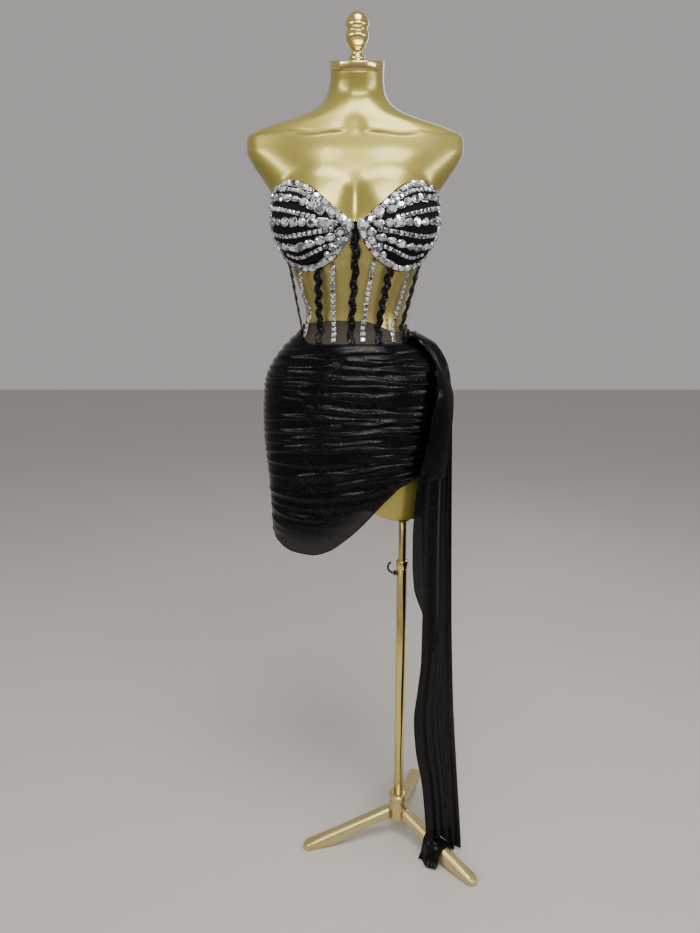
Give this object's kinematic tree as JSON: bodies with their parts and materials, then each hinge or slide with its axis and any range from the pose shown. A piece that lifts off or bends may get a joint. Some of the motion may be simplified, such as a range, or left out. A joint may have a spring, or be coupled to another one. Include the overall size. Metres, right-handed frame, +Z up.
{
  "type": "two-piece stage costume on a limbless dress form and tripod stand",
  "caption": "Crystal bustier with sheer corset panels and a ruched skirt with a side train, worn by a limbless dress form on a telescopic tripod pole.",
  "frame": {"origin": "on the floor under the middle of the whole part's bounding box", "axes": "+Z up, -Y the costume's front, +X the viewer's right when the front is looked at"},
  "size_m": [0.4417, 0.3596, 1.6175],
  "materials": {
    "gold_lacquer": "khaki gold lacquer over a hollow moulded shell, softly glossy",
    "polished_brass": "polished",
    "satin_gold": "satin gold",
    "dark_metal": "dark, semi-gloss",
    "black_cloth": "black cloth, wavy sequins on the bones",
    "crystal": "clear faceted stones with silver backs",
    "nude_mesh": "sheer nude mesh",
    "sheer_black": "sheer black stretch mesh",
    "glitter_cloth": "black semi-sheer mesh with grainy glitter"
  },
  "bodies": {
    "stand": {"pole_lower": "polished_brass", "pole_collar": "polished_brass", "lock_boss": "dark_metal", "stand_hub": "satin_gold", "stand_leg_1": "satin_gold", "stand_leg_2": "satin_gold", "stand_leg_3": "satin_gold"},
    "figure": {"form_torso": "gold_lacquer", "form_neck_cap": "polished_brass", "form_finial": "polished_brass", "form_socket": "dark_metal", "pole_upper": "polished_brass", "cup_left": "black_cloth", "cup_right": "black_cloth", "stone_rim_left": "crystal", "stone_rim_right": "crystal", "stone_row_left_1": "crystal", "stone_row_left_2": "crystal", "stone_row_left_3": "crystal", "stone_row_right_1": "crystal", "stone_row_right_2": "crystal", "stone_row_right_3": "crystal", "stone_chain_left_1": "crystal", "stone_chain_left_2": "crystal", "stone_chain_left_3": "crystal", "stone_chain_left_4": "crystal", "stone_chain_right_1": "crystal", "stone_chain_right_2": "crystal", "stone_chain_right_3": "crystal", "stone_chain_right_4": "crystal", "mesh_front_left": "nude_mesh", "mesh_front_right": "nude_mesh", "mesh_side_left": "nude_mesh", "mesh_side_right": "nude_mesh", "mesh_back_left": "nude_mesh", "mesh_back_right": "nude_mesh", "chain_front_left": "crystal", "chain_front_right": "crystal", "chain_side_left": "crystal", "chain_side_right": "crystal", "bone_centre": "black_cloth", "bone_front_left": "black_cloth", "bone_front_right": "black_cloth", "bone_side_left": "black_cloth", "bone_side_right": "black_cloth", "bone_back_left": "black_cloth", "bone_back_right": "black_cloth", "back_closure": "black_cloth", "waistband_front": "sheer_black", "waistband_back": "sheer_black", "skirt_front": "glitter_cloth", "skirt_back": "glitter_cloth", "train_long": "glitter_cloth", "train_flap": "glitter_cloth", "train_end": "glitter_cloth"},
    "lock": {"lock_screw": "dark_metal"}
  },
  "joints": [
    {"name": "pole_height", "type": "slide", "parent": "stand", "child": "figure", "axis": [0, 0, 1], "range_m": [0, 0.15]},
    {"name": "lock_turn", "type": "hinge", "parent": "stand", "child": "lock", "pos_m": [0.0533, -0.026, 0.603], "axis": [1, 0, 0], "range_deg": [0, 120]}
  ]
}
